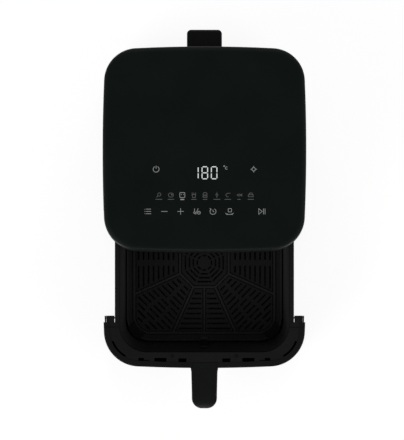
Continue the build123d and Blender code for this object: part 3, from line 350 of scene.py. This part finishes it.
menu = [line((-2.4, y), (4.4, y)) for y in (3.2, 0, -3.2)]
menu += [line((-4.6, y), (-3.6, y)) for y in (3.2, 0, -3.2)]
minus = [line((-4.4, 0), (4.4, 0))]
plus = minus + [line((0, -4.4), (0, 4.4))]
heat_or_time = [line((-3.2, 4.0), (-3.2, -0.4)), loop(*ring((-3.2, -1.8), 1.2, 14)),
                line((-1.6, -4.2), (1.8, 4.2)), loop(*ring((3.0, -1.8), 2.0, 18)),
                line((3.0, -0.9), (3.0, -1.8), (3.8, -1.8))]
preset_time = [line(*arc((0, 0), 4.2, 130, 290)), line((0, 2.4), (0, 0), (1.7, -0.9)),
               line((-4.6, 4.2), (-2.7, 3.2), (-3.2, 1.4))]
shake = [loop(*moved(rounded(2.3, 2.3, 0.7), 0.5, 1.6)), line((-4.4, -4.2), (4.4, -4.2)),
         line(*arc((-3.4, -1.4), 2.2, 200, 90)), line(*arc((3.4, -1.4), 2.2, 250, 90))]
start = [loop((-4.4, 4.0), (-4.4, -4.0), (0.4, 0)), line((2.2, 4.0), (2.2, -4.0)),
         line((4.4, 4.0), (4.4, -4.0))]

drumstick = [loop(*ring((0.6, 0.8), 2.2)), line((-0.9, -0.8), (-3.0, -3.2))]
steak = [loop(*rounded(3.4, 2.8, 2.4)), loop(*ring((1.2, 0.4), 0.8, 12))]
oven = [loop(*rounded(3.5, 3.5, 1.2)), line((-1.4, 0.2), (-1.4, 1.4)), line((1.4, 0.2), (1.4, 1.4))]
fries = [loop((-2.6, 0.6), (2.6, 0.6), (1.9, -3.4), (-1.9, -3.4))]
fries += [line((x, 0.6), (x * 1.3, 3.4)) for x in (-2.0, 0, 2.0)]
burger = [line(*arc((0, 0.6), 2.9, 0, 180)), line((-3.2, 0), (3.2, 0)),
          loop(*moved(rounded(3.0, 1.0, 0.8), 0, -2.2))]
carrot = [loop((-1.4, 1.2), (1.4, 1.2), (0, -3.8)), line((0, 1.2), (0, 3.6))]
shrimp = [line(*arc((0, 0), 2.6, 60, 230)), line((1.3, 2.2), (3.4, 2.8))]
fish = [line(*arc((0, -2.4), 3.6, 40, 100)), line(*arc((0, 2.4), 3.6, 220, 100)),
        loop((2.7, 0), (4.0, 1.6), (4.0, -1.6))]
cake = [loop((-3.4, -2.4), (3.4, -2.4), (3.4, 0.4), (-3.4, 0.4)), line(*arc((0, 0.4), 2.6, 0, 180))]

lit = glow("mark_lit", (0.82, 0.86, 0.86), 0.75)
key = glow("mark_key", (0.8, 0.82, 0.82), 0.20)
dim = glow("mark_dim", (0.8, 0.82, 0.82), 0.035)

# Rows of marks, from the front of the panel to the back, and the widths of their strokes.
FRONT_ROW = 13.0
BAR_ROW = 29.9
BACK_ROW = 35.9
DIGIT_ROW = 67.0
SIGN_ROW = 72.0
DIGIT_STROKE = 1.35
SIGN_STROKE = 0.85
CHOSEN_STROKE = 0.8
CHOSEN_BAR_STROKE = 1.5
KEY_STROKE = 0.75
FOOD_STROKE = 0.6
BAR_STROKE = 0.7

figures = []
for x, on in ((-12.7, "bc"), (0.5, "abcdefg"), (13.5, "abcdef")):
    figures += placed(x, DIGIT_ROW, digit(on), DIGIT_STROKE)
marks("display_figures", figures, lit)

CHOSEN_X = -31.0
keys = placed(-67.6, SIGN_ROW, power, SIGN_STROKE)
keys += placed(68.8, SIGN_ROW, lamp, SIGN_STROKE)
keys += placed(29.3, 74.8, degree, CHOSEN_STROKE)
keys += placed(CHOSEN_X, BACK_ROW, oven, CHOSEN_STROKE)
keys += placed(CHOSEN_X, BAR_ROW - 0.2, bar(2.7), CHOSEN_BAR_STROKE)
for x, mark in ((-79.1, menu), (-56.1, minus), (-33.4, plus), (-10.7, heat_or_time), (11.9, preset_time),
                (35.0, shake), (80.3, start)):
    keys += placed(x, FRONT_ROW, mark, KEY_STROKE)
marks("panel_keys", keys, key)

foods = []
for x, mark, half in ((-63.8, drumstick, 4.6), (-46.9, steak, 4.4), (-14.8, fries, 3.6), (0.8, burger, 3.0),
                      (17.3, carrot, 4.6), (32.7, shrimp, 4.4), (48.3, fish, 2.2), (64.7, cake, 4.2)):
    foods += placed(x, BACK_ROW, mark, FOOD_STROKE)
    foods += placed(x, BAR_ROW, bar(half), BAR_STROKE)
marks("panel_foods", foods, dim)

# ---------------------------------------------------------------- floor, lights and camera

# How strongly the surroundings glow where the picture shows them, and as light on the object.
AIR_SEEN = 0.98
AIR_GLOW = 0.07
FLOOR_SEEN = 0.85
FLOOR_GLOW = 0.28
FLOOR_HALF = 40.0
LIGHT_SIZE = 3.0


def seen_or_lit(tree, seen, lit_by):
    """One value for what the picture shows directly, and another for the light thrown on the object."""
    path = tree.nodes.new("ShaderNodeLightPath")
    pick = tree.nodes.new("ShaderNodeMapRange")
    pick.inputs["To Min"].default_value = lit_by
    pick.inputs["To Max"].default_value = seen
    tree.links.new(path.outputs["Is Camera Ray"], pick.inputs["Value"])
    return pick.outputs["Result"]


def floor():
    """A wide pale studio floor that glows softly, so that the object throws only a faint shadow."""
    mesh = bpy.data.meshes.new("studio_floor")
    corners = [(x * FLOOR_HALF, y * FLOOR_HALF, 0) for x, y in ((-1, -1), (1, -1), (1, 1), (-1, 1))]
    mesh.from_pydata(corners, [], [(0, 1, 2, 3)])
    made = bpy.data.objects.new("studio_floor", mesh)
    bpy.context.scene.collection.objects.link(made)
    look, tree, shader, place = node_tree("studio_paper")
    paper = two_tone(tree, noise(tree, place, 0.5, 2.0), (0.78, 0.78, 0.78), (0.80, 0.80, 0.80))
    tree.links.new(paper, shader.inputs["Base Color"])
    shader.inputs["Roughness"].default_value = 0.9
    shader.inputs["Specular IOR Level"].default_value = 0.1
    shader.inputs["Emission Color"].default_value = (1, 1, 1, 1)
    tree.links.new(seen_or_lit(tree, FLOOR_SEEN, FLOOR_GLOW), shader.inputs["Emission Strength"])
    mesh.materials.append(look)


def soft_light(name, place, aim, power):
    """A square soft box that looks at a point."""
    data = bpy.data.lights.new(name, "AREA")
    data.shape = "RECTANGLE"
    data.size = LIGHT_SIZE
    data.size_y = LIGHT_SIZE
    data.energy = power
    made = bpy.data.objects.new(name, data)
    made.location = place
    made.rotation_euler = (Vector(aim) - Vector(place)).to_track_quat("-Z", "Y").to_euler()
    bpy.context.scene.collection.objects.link(made)


def studio_air():
    """Surroundings: pale where the picture shows them, and a dim room for the object."""
    world = bpy.data.worlds.new("studio_air")
    world.use_nodes = True
    tree = world.node_tree
    background = tree.nodes["Background"]
    background.inputs["Color"].default_value = (1, 1, 1, 1)
    tree.links.new(seen_or_lit(tree, AIR_SEEN, AIR_GLOW), background.inputs["Strength"])
    bpy.context.scene.world = world


floor()
studio_air()
middle = (0.0, 0.0, 0.15)
soft_light("key_light", (-3.0, -2.0, 2.6), middle, 28)
soft_light("fill_light", (3.2, -1.2, 2.4), middle, 18)
soft_light("back_light", (0.3, 3.4, 2.4), middle, 18)

# The camera looks straight down from four metres above the widest line of the top cover.
VIEW_TALL = 616 * MM           # what the picture spans from bottom to top at that line's level
VIEW_CENTRE = (-3.46 * MM, 1.0 * MM)
CAMERA_ABOVE = 4.0
SENSOR = 24.0
outline_level = panel_top - 5 * MM
camera_data = bpy.data.cameras.new("camera")
camera_data.sensor_fit = "VERTICAL"
camera_data.sensor_height = SENSOR
camera_data.lens = SENSOR * CAMERA_ABOVE / VIEW_TALL
camera_data.clip_end = 50
camera = bpy.data.objects.new("camera", camera_data)
camera.location = (*VIEW_CENTRE, outline_level + CAMERA_ABOVE)
bpy.context.scene.collection.objects.link(camera)
bpy.context.scene.camera = camera
bpy.context.scene.view_settings.view_transform = "Standard"
